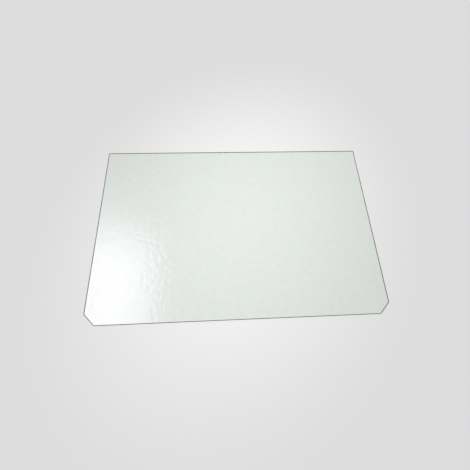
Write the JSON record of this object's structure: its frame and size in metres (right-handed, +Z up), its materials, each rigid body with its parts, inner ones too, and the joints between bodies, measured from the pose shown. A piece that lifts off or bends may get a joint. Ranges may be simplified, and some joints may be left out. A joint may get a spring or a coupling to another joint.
{
  "type": "crisper drawer cover",
  "caption": "Flat pane of pale green pebbled tempered glass with clipped front corners and a pencil-ground edge, lying over a refrigerator's crisper drawers as their cover and shelf.",
  "frame": {"origin": "middle of the underside, on the surface that the pane lies on", "axes": "+X across the width to the right, +Y from the front edge with the clipped corners to the back edge, +Z up"},
  "size_m": [0.61, 0.4, 0.0032],
  "materials": {
    "glass": "clear soda-lime glass with a faint green tint, tempered, fine rolled pebble pattern on the upper face, smooth underside, pencil-ground edge"
  },
  "bodies": {
    "root": {"glass_pane": "glass"}
  },
  "joints": []
}
